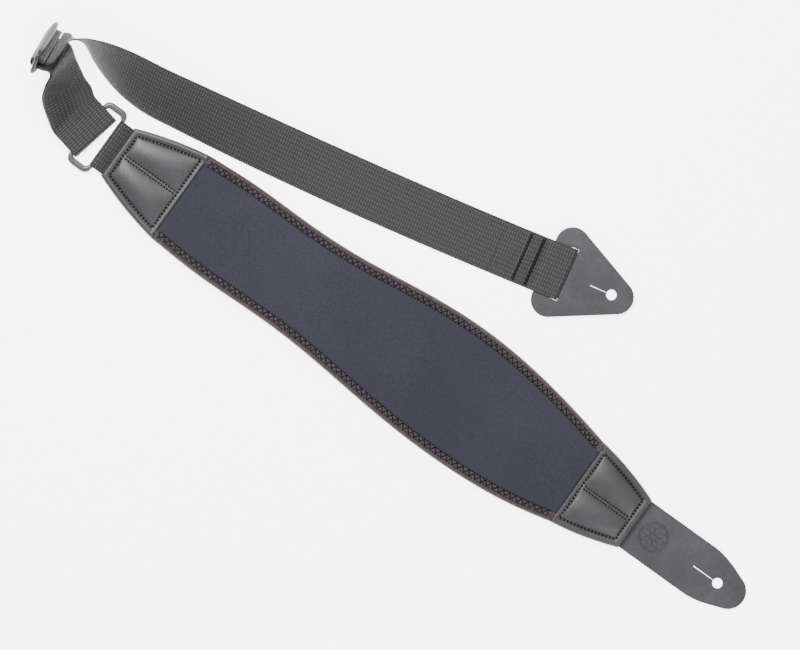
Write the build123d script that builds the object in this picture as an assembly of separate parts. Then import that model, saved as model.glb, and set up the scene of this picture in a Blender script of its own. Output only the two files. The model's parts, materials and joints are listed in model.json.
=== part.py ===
from build123d import *
from math import cos, radians, sin
import os

# Guitar strap, millimetres. The origin is the centre of the end tab's button hole, on the table.
# +X runs along the pad from the ring towards the end tab, and +Z is up from the table.

# Webbing and leather
web_width = 50.8
web_t = 1.8
leather_t = 3.0
button_r = 4.75
slit_width = 1.0
gap = 0.3
snug = 0.2
wide = 200.0

# Pad
pad_x = (-664.0, -108.0)
lining_x = (-610.4, -159.1)
lining_t = 1.4
core_t = 5.0
face_t = 0.6
strip_width = 9.0
strip_wall = 1.0
strip_t = 0.5
core_z = lining_t
face_z = core_z + core_t
pad_top = face_z + face_t

# Half widths of the pad's edges between the covers, from the ring end to the tab end
upper_edge = [(-610.2, 46.8), (-570, 49.6), (-500, 50.0), (-445, 52.2), (-390, 59.4), (-310, 65.3),
              (-240, 60.0), (-190, 51.0), (-159.3, 44.2)]
lower_edge = [(-610.2, 46.8), (-570, 49.2), (-500, 48.8), (-445, 49.0), (-390, 54.0), (-310, 59.3),
              (-240, 58.0), (-190, 51.2), (-159.3, 44.2)]

# Covers: x at the outer end and at the pad's side, and the half width at each
ring_cover_x = (-682.0, -610.5)
ring_cover_half = (27.0, 46.8)
tab_cover_x = (-94.0, -159.0)
tab_cover_half = (27.0, 44.2)
cover_t = 1.2
cover_rim = 2.6
side_bulge = 2.0
lobe_margin = 9.0
lobe_seam = 2.2
lobe_height = 4.0
lobe_taper = 38
lobe_end_margin = 7.2
lobe_corner = 3.0
foam_inset = 1.5
mouth_depth = 8.0

# End tab
tab_half = 26.0
tab_straight_x = -9.0
tab_tip = (12.0, 17.0)
tab_root_x = -107.8
tab_root_t = 1.6
tab_hinge_x = -90.6
tab_slit = 25.0
rosette_x = -74.0
rosette_depth = 0.5
rosette_ring = (14.5, 13.3)
rosette_dot = 2.4
petals = 8
petal_at = 8.0
petal_half = (4.2, 1.6)
slit_start = 2.0

# Ring
ring_z = 4.3
bar_r = 2.0
ring_bars_x = (-717.6, -693.0)
ring_half_y = 34.5
ring_end_y = 27.6
ring_end_r = 21.0
ring_end_t = 4.6
ring_merge = 0.6
anchor_tail_half = 23.0
anchor_closes = 3.0
bar_play = 0.08
loop_turn = 12.0
loop_shift = 0.7
loop_slack = 9.9
loop_room = 6.5
loop_close = 11.0
loop_mouth = 13.0
loop_flat = 16.0
loop_dir = Vector(-cos(radians(loop_turn)), sin(radians(loop_turn)), 0)
loop_across = Vector(-sin(radians(loop_turn)), -cos(radians(loop_turn)), 0)
loop_at = Vector(ring_bars_x[0], loop_shift, ring_z)

# Slider: its long side rises from the table, its plate stands upright
slider_centre = Vector(-790.7, 38.4, 33.0)
slider_tilt = 50.0
slider_length = 61.0
slider_width = 28.0
slider_t = 7.0
outer_bar = 5.2
centre_bar_r = 2.2
end_bar = 4.5
slider_corner = 5.0
plan = Vector(0.205, -0.979, 0)
long_dir = (plan * cos(radians(slider_tilt)) + Vector(0, 0, sin(radians(slider_tilt)))).normalized()
short_dir = (plan * sin(radians(slider_tilt)) - Vector(0, 0, cos(radians(slider_tilt)))).normalized()
out_dir = long_dir.cross(short_dir)

# Single run and triangular tab
run_angle = 11.7
run_dir = Vector(cos(radians(run_angle)), sin(radians(run_angle)), 0)
run_side = Vector(-run_dir.Y, run_dir.X, 0)
fold = Vector(-279.7, 149.7, 0)
run_length = 415.0
run_bow = 3.6
run_turn = 27.0
turn_fade = 1.5
flat_from = 0.75
run_shares = (0.002, 0.12, 0.3, 0.55, 0.8)
strip_pieces = 20
twist_line = [((-776.0, 57.5, 31.0), 100), ((-766.0, 64.0, 27.5), 88), ((-751.4, 63.8, 25.0), 70),
              ((-732.5, 63.4, 21.0), 52), ((-713.9, 63.6, 16.6), 38)]
hem_length = 50.0
hem_rise = (-52.0, -47.0)
fold_back = 1.4
stitch_pitch = 4.0
stitch_count = 12
stitch_lean = 35
stitch_shift = 0.8
hem_stitch = (3.6, 0.7, 0.4)
seam_stitch = (0.7, 3.6, 0.68)
hem_ramp = (24.0, 29.0)
flex_back = 56.0
tri_lobe_back = -6.0
tri_lobe_side = 28.0
tri_apex = 51.0
tri_r = 16.0
tri_hole = 45.6
tri_slit = 19.0
tri_t = 2.8
slot_half = (3.6, 27.0)
slot_at = -1.0
slot_corner = 1.0
stitch_rows = (31.4, 43.9)
edge_rows = (3.6, 6.8)
edge_pitch = 7.0
border_inset = 5.1
pad_side_inset = 4.0
row_step = 1.5
centre_start = 3.0


def save(name, *solids):
    """Write one sub-part, a single solid or a group of separate ones."""
    shape = solids[0] if len(solids) == 1 else Compound(children=list(solids))
    export_step(shape, f"parts/{name}.step")


def slab(sketch, low, high):
    """A flat sketch made into a solid between two heights."""
    return extrude(Pos(0, 0, low) * sketch, high - low)


def box(x, y, z):
    """A box from its low and high limits along each axis."""
    return Pos(sum(x) / 2, sum(y) / 2, sum(z) / 2) * Box(x[1] - x[0], y[1] - y[0], z[1] - z[0])


def hull(*faces):
    """The convex outline round several flat faces."""
    return make_hull(ShapeList([e for f in faces for e in f.edges()]))


# ---------------------------------------------------------------- pad

def trapezoid(x, half, inset=0.0):
    """A cover's outline, with gently bulging sides, drawn in by inset all round but its pad side."""
    x0, x1 = x
    way = 1 if x1 > x0 else -1
    a, b = half[0] - inset, half[1] - inset
    mid = ((x0 + x1) / 2, (a + b) / 2 + side_bulge)
    sides = [ThreePointArc((x0 + way * inset, s * a), (mid[0], s * mid[1]), (x1, s * b)) for s in (-way, way)]
    ends = [Line(sides[0] @ 0, sides[1] @ 0), Line(sides[0] @ 1, sides[1] @ 1)]
    return make_face(sides + ends)


def contour(inset=0.0):
    """The pad's outline between the covers."""
    upper = Spline(*[(x, y - inset) for x, y in upper_edge])
    lower = Spline(*[(x, inset - y) for x, y in lower_edge])
    ends = [Line(upper @ 0, lower @ 0), Line(upper @ 1, lower @ 1)]
    return make_face([upper, lower] + ends)


def pad_outline():
    """Contour plus the tapered ends that sit inside the covers."""
    ring_end = trapezoid((ring_cover_x[0], ring_cover_x[1] + 1), ring_cover_half, cover_rim + gap / 2)
    tab_end = trapezoid((tab_cover_x[0], tab_cover_x[1] - 1), tab_cover_half, cover_rim + gap / 2)
    ends = ring_end + tab_end
    ends = ends & (Pos(sum(pad_x) / 2, 0) * Rectangle(pad_x[1] - pad_x[0], wide))
    return contour(strip_wall) + ends


def make_pad():
    outline = pad_outline()
    save("pad_core", slab(outline, core_z, face_z))
    save("pad_face", slab(outline, face_z, pad_top))
    between = Pos(sum(lining_x) / 2, 0) * Rectangle(lining_x[1] - lining_x[0] - 2 * snug, wide)
    save("pad_lining", slab(contour(strip_wall) & between, 0, lining_t))
    full = contour() & between
    inner = contour(strip_width) & between
    wall = full - (contour(strip_wall) & between)
    band = full - inner
    strips = slab(wall, 0, pad_top) + slab(band, pad_top, pad_top + strip_t)
    save("edge_strip_upper", strips & box((-4 * wide, 0), (0, wide), (-wide, wide)))
    save("edge_strip_lower", strips & box((-4 * wide, 0), (-wide, 0), (-wide, wide)))


# ---------------------------------------------------------------- covers

def lobe(x, half, side, inset=0.0):
    """One padded lobe's outline, on the upper (+1) or lower (-1) side of the centre seam."""
    inner = trapezoid(x, half, lobe_margin + inset)
    x0, x1 = min(x), max(x)
    length = x1 - x0 - 2 * (lobe_end_margin + inset)
    window = Pos((x0 + x1) / 2, side * wide / 2) * Rectangle(length, wide - 2 * lobe_seam)
    return fillet((inner & window).vertices(), lobe_corner)


def make_cover(name, x, half):
    back = slab(trapezoid(x, half), 0, cover_t)
    save(f"{name}_cover_back", back)
    plate_top = pad_top + cover_t
    outer = slab(trapezoid(x, half), cover_t, plate_top)
    pocket = slab(trapezoid(x, half, cover_rim), cover_t, pad_top)
    front = outer - pocket
    pads = []
    for side in (1, -1):
        dome = extrude(Pos(0, 0, plate_top) * lobe(x, half, side), lobe_height - cover_t, taper=lobe_taper)
        foam_outline = lobe(x, half, side, foam_inset)
        foam = extrude(Pos(0, 0, pad_top) * foam_outline, lobe_height - cover_t, taper=lobe_taper)
        front = (front + dome) - foam
        pads.append(foam)
    return front, pads


def make_covers():
    front, pads = make_cover("ring_end", ring_cover_x, ring_cover_half)
    mouth = box((ring_cover_x[0] - gap, ring_cover_x[0] + mouth_depth), (-web_width / 2 - snug, web_width / 2 + snug),
                (cover_t, cover_t + 2 * web_t))
    save("ring_end_cover_front", front - mouth)
    save("ring_end_cover_pads", *pads)
    front, pads = make_cover("tab_end", tab_cover_x, tab_cover_half)
    mouth = box((tab_cover_x[0] - mouth_depth, tab_cover_x[0] + gap), (snug / 2 - tab_half, tab_half - snug / 2),
                (cover_t, cover_t + tab_root_t))
    save("tab_end_cover_front", front - mouth)
    save("tab_end_cover_pads", *pads)


# ---------------------------------------------------------------- end tab

def rosette():
    """A plain ring of petals, pressed into the leather."""
    mark = Circle(rosette_ring[0]) - Circle(rosette_ring[1]) + Circle(rosette_dot)
    for i in range(petals):
        mark += Rot(0, 0, 360 * i / petals) * Pos(petal_at, 0) * Ellipse(*petal_half)
    return Pos(rosette_x, 0) * mark


def make_end_tab():
    root_end = tab_hinge_x - leather_t / 2 - gap
    root = box((tab_root_x, root_end), (snug - tab_half, tab_half - snug), (cover_t, cover_t + tab_root_t))
    save("end_tab_root", root)
    body = Pos((tab_hinge_x + tab_straight_x) / 2, 0) * Rectangle(tab_straight_x - tab_hinge_x, 2 * tab_half)
    outline = hull(body, Pos(tab_tip[0], 0) * Circle(tab_tip[1]))
    slit = Pos(-tab_slit / 2 - slit_start, 0) * Rectangle(tab_slit, slit_width)
    slit_end = Pos(-tab_slit - slit_start, 0) * Circle(slit_width)
    outline = outline - Circle(button_r) - slit - slit_end
    knuckle = Pos(tab_hinge_x, 0, leather_t / 2) * Rot(90, 0, 0) * Cylinder(leather_t / 2, 2 * tab_half)
    tab = slab(outline, 0, leather_t) + knuckle
    tab = tab - slab(rosette(), leather_t - rosette_depth, leather_t + rosette_depth)
    save("end_tab", tab)


# ---------------------------------------------------------------- ring and anchor webbing

def bar_loop(x_bar, x_sewn, x_end, z_sewn):
    """Side view of webbing folded round a ring bar and closed to a double layer."""
    tail = Pos((x_sewn + x_end) / 2, z_sewn) * Rectangle(abs(x_end - x_sewn) + 2 * gap, 2 * web_t)
    towards_bar = 1 if x_bar > x_sewn else -1
    mouth = Pos(x_sewn + gap * towards_bar, z_sewn) * Rectangle(2 * snug, 2 * web_t)
    outer = hull(Pos(x_bar, ring_z) * Circle(bar_r + bar_play + web_t), mouth)
    closing = x_sewn + anchor_closes * towards_bar
    point = Pos(closing, z_sewn) * Rectangle(2 * snug, gap)
    inner = hull(Pos(x_bar, ring_z) * Circle(bar_r + bar_play), point)
    return outer + tail - inner


def make_anchor():
    side_view = bar_loop(ring_bars_x[1], ring_cover_x[0], ring_cover_x[0] + mouth_depth - snug / 2, cover_t + web_t)
    webbing = Pos(0, web_width / 2, 0) * Rot(90, 0, 0) * extrude(side_view, web_width)
    tails = box((ring_cover_x[0] + mouth_depth - snug / 2, pad_x[0] - snug), (-anchor_tail_half, anchor_tail_half),
                (cover_t, cover_t + 2 * web_t))
    save("anchor_webbing", webbing + tails)


def make_ring():
    ring = None
    for x in ring_bars_x:
        bar = Pos(x, 0, ring_z) * Rot(90, 0, 0) * Cylinder(bar_r, 2 * (ring_end_y + ring_merge))
        ring = bar if ring is None else ring + bar
    middle = sum(ring_bars_x) / 2
    for side in (1, -1):
        disc = Pos(middle, side * (ring_half_y - ring_end_r)) * Circle(ring_end_r)
        across = ring_bars_x[1] - ring_bars_x[0] + 2 * bar_r + 4 * snug
        cut = Pos(middle, side * (ring_end_y + wide / 2)) * Rectangle(across, wide)
        end = extrude(Pos(0, 0, ring_z - ring_end_t / 2) * (disc & cut), ring_end_t)
        ring = ring + end
    save("ring", ring)


# ---------------------------------------------------------------- ribbons

def ribbon(stations, leave, arrive, thick=web_t):
    """A strip along a smooth line through (centre, across) stations, in short straight-sided pieces.
    Each piece only joins two sections, so the strip can't bulge back past its own ends."""
    path = Spline(*[centre for centre, _ in stations], tangents=(leave, arrive))
    marks = [0.0]
    for (here, _), (there, _) in zip(stations, stations[1:]):
        marks.append(marks[-1] + (there - here).length)
    sections = []
    for i in range(strip_pieces + 1):
        share = i / strip_pieces
        reached = share * marks[-1]
        k = max(j for j in range(len(marks) - 1) if marks[j] <= reached)
        part = (reached - marks[k]) / (marks[k + 1] - marks[k])
        across = (stations[k][1] * (1 - part) + stations[k + 1][1] * part).normalized()
        along = path % share
        along = along - across * along.dot(across)
        sections.append(Plane(origin=path @ share, x_dir=across, z_dir=along) * Rectangle(web_width, thick))
    return loft(sections, ruled=True)


def turned(direction, side, angle):
    """The direction across a webbing that runs along direction, turned by angle out of the table plane."""
    return side * cos(radians(angle)) + Vector(0, 0, sin(radians(angle)))


# ---------------------------------------------------------------- slider and its webbing

slider_plane = Plane(origin=slider_centre, x_dir=out_dir, z_dir=long_dir)


def make_slider():
    """Three bars across the webbing, drawn in the plate's own plane and stood upright."""
    plate_plane = Plane(origin=slider_centre, x_dir=long_dir, z_dir=out_dir)
    outline = RectangleRounded(slider_length, slider_width, slider_corner)
    window = Rectangle(slider_length - 2 * end_bar, slider_width - 2 * outer_bar)
    frame = extrude(plate_plane * (outline - window), slider_t / 2, both=True)
    bar = extrude(slider_plane * Circle(centre_bar_r), (slider_length - end_bar) / 2, both=True)
    return frame + bar


def fold_round_bar(inner_r, legs):
    """Side view of webbing turned round the centre bar, with straight legs towards the strap."""
    ring = Circle(inner_r + web_t) - Circle(inner_r)
    ring = ring & (Pos(-wide / 2, 0) * Rectangle(wide, wide))
    for side, length in legs.items():
        leg = Pos(length / 2, side * (inner_r + web_t / 2)) * Rectangle(length, web_t)
        ring = ring + leg
    return ring


sewn_r = centre_bar_r + bar_play
run_r = sewn_r + web_t + 0.1
exit_reach = 8.0
run_exit = slider_centre - short_dir * (run_r + web_t / 2) + out_dir * (exit_reach + gap + web_t / 2)
loop_leave = 14.0
double_line = [((-755.0, 17.5, 15.5), (-0.345, -0.775, 0.530))]


def make_slider_webbing():
    sewn = fold_round_bar(sewn_r, {-1: loop_leave, 1: exit_reach})
    save("webbing_sewn_end", extrude(slider_plane * sewn, web_width / 2, both=True))
    turn = fold_round_bar(run_r, {-1: loop_leave, 1: exit_reach})
    save("webbing_turn", extrude(slider_plane * turn, web_width / 2, both=True))


# ---------------------------------------------------------------- double webbing, ring to slider

def slack_loop():
    """Side view of the loose loop round the ring's far bar: the bar at 0, the window on the plus side."""
    ends = [Pos(loop_slack, 0), Pos(-loop_room, 0)]
    mouth = Pos(-loop_mouth, 0) * Rectangle(2 * snug, 2 * web_t)
    point = Pos(-loop_close, 0) * Rectangle(2 * snug, gap)
    outer = hull(*[end * Circle(bar_r + bar_play + web_t) for end in ends], mouth)
    inner = hull(*[end * Circle(bar_r + bar_play) for end in ends], point)
    tail = Pos(-(loop_mouth + loop_flat) / 2, 0) * Rectangle(loop_flat - loop_mouth + snug, 2 * web_t)
    return outer + tail - inner


def make_loop_webbing():
    loop_plane = Plane(origin=loop_at, x_dir=loop_dir * -1, z_dir=loop_across)
    save("webbing_ring_fold", extrude(loop_plane * slack_loop(), web_width / 2, both=True))
    start = loop_at + loop_dir * loop_flat
    finish = slider_centre + short_dir * (run_r - 0.05) + out_dir * (loop_leave + gap)
    stations = [(start, loop_across)]
    stations += [(Vector(*centre), Vector(*across)) for centre, across in double_line]
    stations.append((finish, long_dir))
    save("webbing_double", ribbon(stations, loop_dir, out_dir * -1, 2 * web_t))


# ---------------------------------------------------------------- single run

def run_centre(share):
    """The run's middle, from 0 where its twist ends to 1 at the fold, bowed a little towards the pad."""
    start = fold - run_dir * run_length
    bow = run_side * (-4 * run_bow * share * (1 - share))
    return start + run_dir * (run_length * share) + bow


def run_station(share):
    """The run's middle and the direction across it, lifted so that its lower edge rests on the table."""
    angle = run_turn * max(0.0, 1 - share / flat_from) ** turn_fade
    lift = web_width / 2 * sin(radians(angle)) + web_t / 2
    return run_centre(share) + Vector(0, 0, lift), turned(run_dir, run_side, angle)


def make_run():
    lead = [(run_exit, long_dir)]
    lead += [(Vector(*centre), turned(run_dir, run_side, angle)) for centre, angle in twist_line]
    lead.append(run_station(0))
    save("webbing_twist", ribbon(lead, out_dir, run_dir))
    end_share = 1 - (flex_back + web_t / 2 + gap) / run_length
    stations = [run_station(share) for share in (*run_shares, end_share)]
    save("webbing_run", ribbon(stations, run_dir, run_dir))


# ---------------------------------------------------------------- folded end and triangular tab

end_plane = Plane(origin=fold, x_dir=run_dir, z_dir=Vector(0, 0, 1))


def make_hem():
    """The run's end goes over the leather, down through the slot, and back under it to be sewn."""
    under = web_t
    over = web_t + tri_t
    side = Plane(origin=fold, x_dir=run_dir, z_dir=run_side * -1)
    top_line = [(-flex_back, 0), (hem_rise[0], 0), (hem_rise[1], under), (-hem_ramp[1], under),
                (-hem_ramp[0], over), (-fold_back, over)]
    lower = Polyline(*top_line)
    upper = Polyline(*[(x, z + web_t) for x, z in top_line])
    ends = [Line(lower @ 0, upper @ 0), Line(lower @ 1, upper @ 1)]
    top_layer = make_face([lower, upper] + ends)
    fold_r = (over + web_t) / 2
    turn = Pos(-fold_back, fold_r) * (Circle(fold_r) - Circle(fold_r - web_t))
    turn = turn & (Pos(wide / 2 - fold_back, 0) * Rectangle(wide, wide))
    under_layer = Pos((-hem_length - fold_back) / 2, web_t / 2) * Rectangle(hem_length - fold_back, web_t)
    profile = top_layer + turn + under_layer
    hem = extrude(side * profile, web_width / 2, both=True)
    axis_at = Vector(0, 0, web_t / 2)
    knuckle = Plane(origin=fold - run_dir * flex_back + axis_at, x_dir=run_dir, z_dir=run_side)
    hem = hem + extrude(knuckle * Circle(web_t / 2), web_width / 2, both=True)
    save("webbing_end", hem)


def make_triangle():
    lobes = [Pos(tri_lobe_back, s * tri_lobe_side) * Circle(tri_r) for s in (1, -1)]
    outline = hull(*lobes, Pos(tri_apex, 0) * Circle(tri_r))
    slot = Pos(slot_at, 0) * RectangleRounded(2 * slot_half[0], 2 * slot_half[1], slot_corner)
    hole = Pos(tri_hole, 0) * Circle(button_r)
    slit = Pos(tri_hole - tri_slit / 2 - slit_start, 0) * Rectangle(tri_slit, slit_width)
    outline = outline - slot - hole - slit
    save("triangle_tab", extrude(end_plane * Pos(0, 0, web_t) * outline, tri_t))


# ---------------------------------------------------------------- stitches

def seam(points, height, thread, pitch=seam_stitch[1]):
    """Separate stitches laid flat along a line of points at one height."""
    width, _, share = seam_stitch
    made = []
    path = Polyline(*points)
    count = int(path.length / pitch)
    for i in range(count):
        at = (i + 0.5) / count
        here = path @ at
        along = path % at
        turn = Vector(1, 0, 0).get_signed_angle(Vector(along.X, along.Y, 0), Vector(0, 0, 1))
        made.append(Pos(here.X, here.Y, height + thread / 2) * Rot(0, 0, turn) * Box(pitch * share, width, thread))
    return made


def offset_side(edge, inset, sign):
    return [(x, sign * (y - inset)) for x, y in edge]


def make_stitches():
    height = pad_top + strip_t
    for name, edge, sign in (("upper", upper_edge, 1), ("lower", lower_edge, -1)):
        rows = []
        for inset in edge_rows:
            rows += seam(offset_side(edge[1:-1], inset, sign), height, gap, edge_pitch)
        save(f"edge_stitching_{name}", *rows)
    plate_top = pad_top + cover_t
    for name, x, half in (("ring_end", ring_cover_x, ring_cover_half), ("tab_end", tab_cover_x, tab_cover_half)):
        way = 1 if x[1] > x[0] else -1
        x0, x1 = x[0] + way * border_inset, x[1] - way * pad_side_inset
        near, far = half[0] - border_inset, half[1] - border_inset
        border = seam([(x1, far), (x0, near), (x0, -near), (x1, -far)], plate_top, hem_stitch[2])
        end_x, end_y = x1 - way * row_step, far - pad_side_inset
        border += seam([(end_x, end_y), (end_x, -end_y)], plate_top, hem_stitch[2])
        centre = seam([(x0 + way * centre_start, 0), (x1 - way * pad_side_inset, 0)], plate_top, hem_stitch[2])
        save(f"{name}_stitching", *(border + centre))
    rows = []
    for back in stitch_rows:
        for i in range(stitch_count):
            lean = 1 if i % 2 else -1
            across = (i - (stitch_count - 1) / 2) * stitch_pitch
            place = end_plane * Pos(lean * stitch_shift - back, across, 2 * web_t + hem_stitch[2] / 2)
            rows.append(place * Rot(0, 0, 90 + lean * stitch_lean) * Box(*hem_stitch))
    save("webbing_end_stitching", *rows)


def main():
    os.makedirs("parts", exist_ok=True)
    make_pad()
    make_covers()
    make_end_tab()
    make_anchor()
    make_ring()
    save("slider", make_slider())
    make_slider_webbing()
    make_loop_webbing()
    make_run()
    make_hem()
    make_triangle()
    make_stitches()


main()
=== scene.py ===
import json
import math
import bpy
import bmesh
import numpy as np
from mathutils import Matrix, Vector

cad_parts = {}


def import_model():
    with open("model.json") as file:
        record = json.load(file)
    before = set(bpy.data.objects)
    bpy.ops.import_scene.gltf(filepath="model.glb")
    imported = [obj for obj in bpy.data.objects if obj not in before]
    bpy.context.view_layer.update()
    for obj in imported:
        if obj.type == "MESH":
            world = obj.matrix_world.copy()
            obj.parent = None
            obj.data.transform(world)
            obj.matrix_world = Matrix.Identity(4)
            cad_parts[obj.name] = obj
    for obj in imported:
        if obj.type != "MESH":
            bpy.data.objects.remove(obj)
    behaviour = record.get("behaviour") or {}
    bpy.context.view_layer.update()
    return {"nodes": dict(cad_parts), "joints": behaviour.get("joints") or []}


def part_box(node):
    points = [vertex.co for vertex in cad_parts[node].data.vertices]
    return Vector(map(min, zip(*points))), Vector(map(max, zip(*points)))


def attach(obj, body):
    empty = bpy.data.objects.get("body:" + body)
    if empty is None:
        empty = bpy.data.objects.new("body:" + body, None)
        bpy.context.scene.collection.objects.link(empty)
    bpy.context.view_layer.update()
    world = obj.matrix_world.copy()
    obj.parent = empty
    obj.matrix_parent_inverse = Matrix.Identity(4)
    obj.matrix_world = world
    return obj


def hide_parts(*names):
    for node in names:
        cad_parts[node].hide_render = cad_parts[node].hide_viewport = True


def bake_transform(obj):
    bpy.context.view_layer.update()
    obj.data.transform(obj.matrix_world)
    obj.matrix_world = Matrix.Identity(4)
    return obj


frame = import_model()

# Everything is in metres, in the frame's own axes: +X along the pad towards the end tab, +Z up.

MM = 0.001

joints = {j["name"]: j for j in frame["joints"]}


# ---------------- driving dimensions

web_half = 25.4 * MM
web_t = 1.8 * MM
rib_pitch = 2.5 * MM
rib_height = 0.26 * MM
warp_pitch = 2.1 * MM
warp_thread = 0.7 * MM
weft_thread = 0.42 * MM
tape_rib = 1.1 * MM
leather_t = 3.0 * MM
tri_t = 2.8 * MM
slit_width = 0.3 * MM
lining_t = 1.4 * MM
cover_t = 1.2 * MM
button_r = 4.75 * MM
bar_r = 2.0 * MM
centre_bar_r = 2.2 * MM
bar_play = 0.08 * MM


def joint_pos(name):
    return Vector(joints[name]["pos_m"])


def joint_axis(name):
    return Vector(joints[name]["axis"]).normalized()


ring_near = joint_pos("ring_swing")
ring_far = joint_pos("loop_swing")
long_dir = joint_axis("run_fold")
run_exit = joint_pos("run_fold")
run_dir = -joint_axis("run_feed")
run_side = Vector((-run_dir.y, run_dir.x, 0))
flex_at = joint_pos("run_end_flex")
plan_dir = Vector((long_dir.x, long_dir.y, 0)).normalized()
out_dir = Vector((-plan_dir.y, plan_dir.x, 0))
short_dir = out_dir.cross(long_dir)

sewn_r = centre_bar_r + bar_play
run_r = sewn_r + web_t + 0.1 * MM
exit_reach = 9.2 * MM
slider_centre = run_exit + short_dir * (run_r + web_t / 2) - out_dir * exit_reach
flex_back = 56 * MM
fold = flex_at + run_dir * flex_back
fold.z = 0
run_length = 415 * MM
run_bow = 3.6 * MM
run_turn = 27.0
flat_from = 0.75
turn_fade = 1.5

pad_low, pad_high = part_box("pad_core")
face_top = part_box("pad_face")[1].z
tab_low, tab_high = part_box("end_tab")


# ---------------- mesh helpers

def link(name, data):
    """A new object for some data, put in the scene."""
    obj = bpy.data.objects.new(name, data)
    bpy.context.scene.collection.objects.link(obj)
    return obj


def make_object(name, verts, faces, uvs=None):
    """A mesh object from points and faces, with one UV pair per point."""
    mesh = bpy.data.meshes.new(name)
    mesh.from_pydata([tuple(v) for v in verts], [], [tuple(int(i) for i in f) for f in faces])
    mesh.validate()
    if uvs is not None:
        layer = mesh.uv_layers.new(name="weave")
        index = np.zeros(len(mesh.loops), np.int32)
        mesh.loops.foreach_get("vertex_index", index)
        layer.data.foreach_set("uv", np.asarray(uvs, np.float32)[index].ravel())
    mesh.polygons.foreach_set("use_smooth", [True] * len(mesh.polygons))
    return link(name, mesh)


def fix_normals(obj):
    """Faces turned outwards, and doubled points merged."""
    bm = bmesh.new()
    bm.from_mesh(obj.data)
    bmesh.ops.remove_doubles(bm, verts=bm.verts, dist=1e-6)
    bmesh.ops.recalc_face_normals(bm, faces=bm.faces)
    bm.to_mesh(obj.data)
    bm.free()
    return obj


def finish_piece(obj, material, body, slot, *nodes):
    """A piece's material, the body it rides and the CAD nodes it stands for, which are hidden. The slot
    argument is not used.
    """
    obj.data.materials.clear()
    obj.data.materials.append(material)
    if body:
        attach(obj, body)
    if nodes:
        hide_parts(*nodes)
    return obj


def unit(a):
    return a / np.maximum(np.linalg.norm(a, axis=-1, keepdims=True), 1e-12)


def swell(distance, at, width):
    """A soft ridge one unit high, centred at a distance."""
    return np.exp(-((distance - at) / width) ** 2)


def shell_faces(rows, cols):
    """Faces of a closed slab: an upper and a lower grid of points, joined along all four sides."""
    grid = np.arange(rows * cols).reshape(rows, cols)
    base = rows * cols
    a, b, c, d = grid[:-1, :-1], grid[1:, :-1], grid[1:, 1:], grid[:-1, 1:]
    faces = [np.stack([a, b, c, d], -1).reshape(-1, 4), np.stack([a, d, c, b], -1).reshape(-1, 4) + base]
    for line in (grid[:, 0], grid[:, -1], grid[0], grid[-1]):
        faces.append(np.stack([line[:-1], line[1:], line[1:] + base, line[:-1] + base], -1))
    return np.concatenate(faces)


def join_rings(faces, base, rings, sides, closed=False):
    """Faces between rings of points laid one after another, capped unless the last ring meets the first."""
    for i in range(rings if closed else rings - 1):
        here, there = base + i * sides, base + (i + 1) % rings * sides
        for k in range(sides):
            q = (k + 1) % sides
            faces.append((here + k, there + k, there + q, here + q))
    if not closed:
        faces.append(tuple(base + k for k in range(sides)))
        faces.append(tuple(base + (rings - 1) * sides + k for k in reversed(range(sides))))


def smoothstep(x, lo, hi):
    t = np.clip((x - lo) / (hi - lo), 0, 1)
    return t * t * (3 - 2 * t)


# ---------------- materials

def new_material(name, color, roughness, **sockets):
    """A material, its node tree and its shader. Each further keyword sets one of the shader's sockets."""
    mat = bpy.data.materials.new(name)
    mat.use_nodes = True
    shader = mat.node_tree.nodes["Principled BSDF"]
    shader.inputs["Base Color"].default_value = (*color, 1)
    shader.inputs["Roughness"].default_value = roughness
    for key, value in sockets.items():
        shader.inputs[key.replace("_", " ")].default_value = value
    return mat, mat.node_tree, shader


def add(tree, kind, **props):
    node = tree.nodes.new(kind)
    for key, value in props.items():
        setattr(node, key, value)
    return node


def noise(tree, vector, scale, detail=3.0, rough=0.55):
    node = add(tree, "ShaderNodeTexNoise")
    node.inputs["Scale"].default_value = scale
    node.inputs["Detail"].default_value = detail
    node.inputs["Roughness"].default_value = rough
    tree.links.new(vector, node.inputs["Vector"])
    return node.outputs["Fac"]


def voronoi(tree, vector, scale, feature="F1"):
    node = add(tree, "ShaderNodeTexVoronoi", feature=feature)
    node.inputs["Scale"].default_value = scale
    tree.links.new(vector, node.inputs["Vector"])
    return node.outputs["Distance"]


def ramp(tree, fac, stops):
    node = add(tree, "ShaderNodeValToRGB")
    elements = node.color_ramp.elements
    while len(elements) < len(stops):
        elements.new(0.5)
    for element, (pos, color) in zip(elements, stops):
        element.position = pos
        element.color = (*color, 1)
    tree.links.new(fac, node.inputs["Fac"])
    return node.outputs["Color"]


def spread(tree, fac, low, high):
    node = add(tree, "ShaderNodeMapRange")
    node.inputs["To Min"].default_value = low
    node.inputs["To Max"].default_value = high
    tree.links.new(fac, node.inputs["Value"])
    return node.outputs["Result"]


def math_node(tree, operation, a, b=None):
    node = add(tree, "ShaderNodeMath", operation=operation)
    for socket, value in zip(node.inputs, (a, b)):
        if value is None:
            continue
        if isinstance(value, (int, float)):
            socket.default_value = value
        else:
            tree.links.new(value, socket)
    return node.outputs["Value"]


def times(tree, a, b):
    return math_node(tree, "MULTIPLY", a, b)


def plus(tree, a, b):
    return math_node(tree, "ADD", a, b)


def mixed(tree, *shares):
    """A weighted sum. Each share is a value and its weight."""
    total = None
    for value, weight in shares:
        part = times(tree, value, weight)
        total = part if total is None else plus(tree, total, part)
    return total


def sine(tree, a):
    return math_node(tree, "SINE", a)


def bump(tree, shader, height, distance, strength):
    node = add(tree, "ShaderNodeBump")
    node.inputs["Strength"].default_value = strength
    node.inputs["Distance"].default_value = distance
    tree.links.new(height, node.inputs["Height"])
    tree.links.new(node.outputs["Normal"], shader.inputs["Normal"])


def object_coords(tree):
    return add(tree, "ShaderNodeTexCoord").outputs["Object"]


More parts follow.
